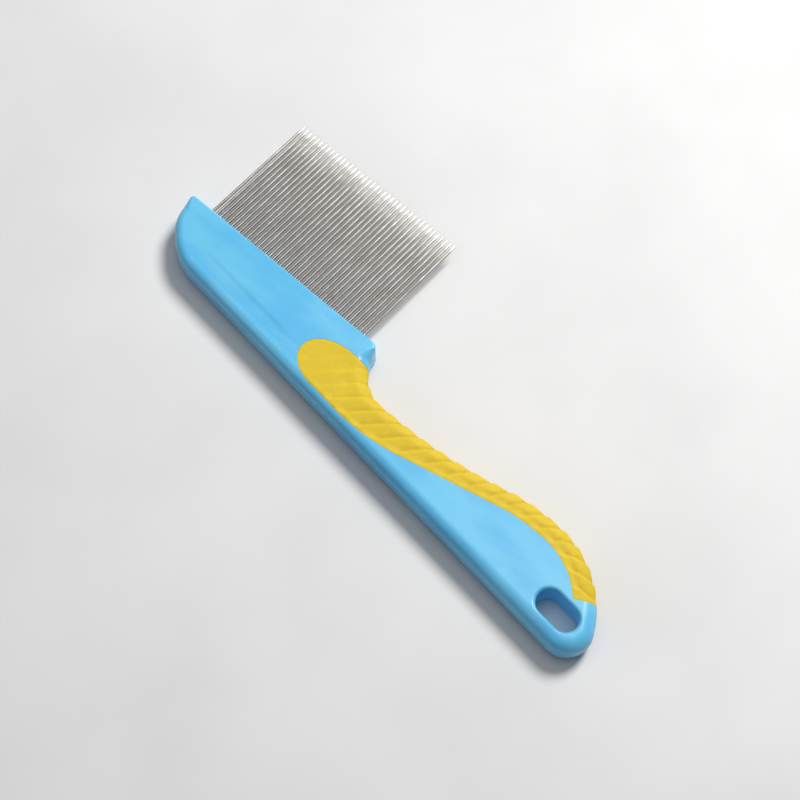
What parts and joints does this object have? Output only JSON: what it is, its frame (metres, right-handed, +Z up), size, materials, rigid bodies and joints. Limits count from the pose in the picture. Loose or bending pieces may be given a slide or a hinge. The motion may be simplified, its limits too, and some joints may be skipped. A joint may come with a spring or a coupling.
{
  "type": "flea comb",
  "caption": "Fine-pin flea comb with a long light blue handle, a yellow soft grip along its belly and a hang slot at the tail.",
  "frame": {"origin": "bottom centre of the whole comb as it lies flat, head and pin tips included", "axes": "+X along the comb from the head to the tail, +Y towards the pin tips, +Z up through the thickness"},
  "size_m": [0.1848, 0.0796, 0.01],
  "materials": {
    "handle": "satin",
    "grip": "matte",
    "pins": "polished"
  },
  "bodies": {
    "root": {"handle_body": "handle", "grip": "grip", "pin_01": "pins", "pin_02": "pins", "pin_03": "pins", "pin_04": "pins", "pin_05": "pins", "pin_06": "pins", "pin_07": "pins", "pin_08": "pins", "pin_09": "pins", "pin_10": "pins", "pin_11": "pins", "pin_12": "pins", "pin_13": "pins", "pin_14": "pins", "pin_15": "pins", "pin_16": "pins", "pin_17": "pins", "pin_18": "pins", "pin_19": "pins", "pin_20": "pins", "pin_21": "pins", "pin_22": "pins", "pin_23": "pins", "pin_24": "pins", "pin_25": "pins", "pin_26": "pins", "pin_27": "pins", "pin_28": "pins", "pin_29": "pins", "pin_30": "pins", "pin_31": "pins", "pin_32": "pins", "pin_33": "pins", "pin_34": "pins", "pin_35": "pins", "pin_36": "pins", "pin_37": "pins", "pin_38": "pins", "pin_39": "pins", "pin_40": "pins", "pin_41": "pins"}
  },
  "joints": []
}
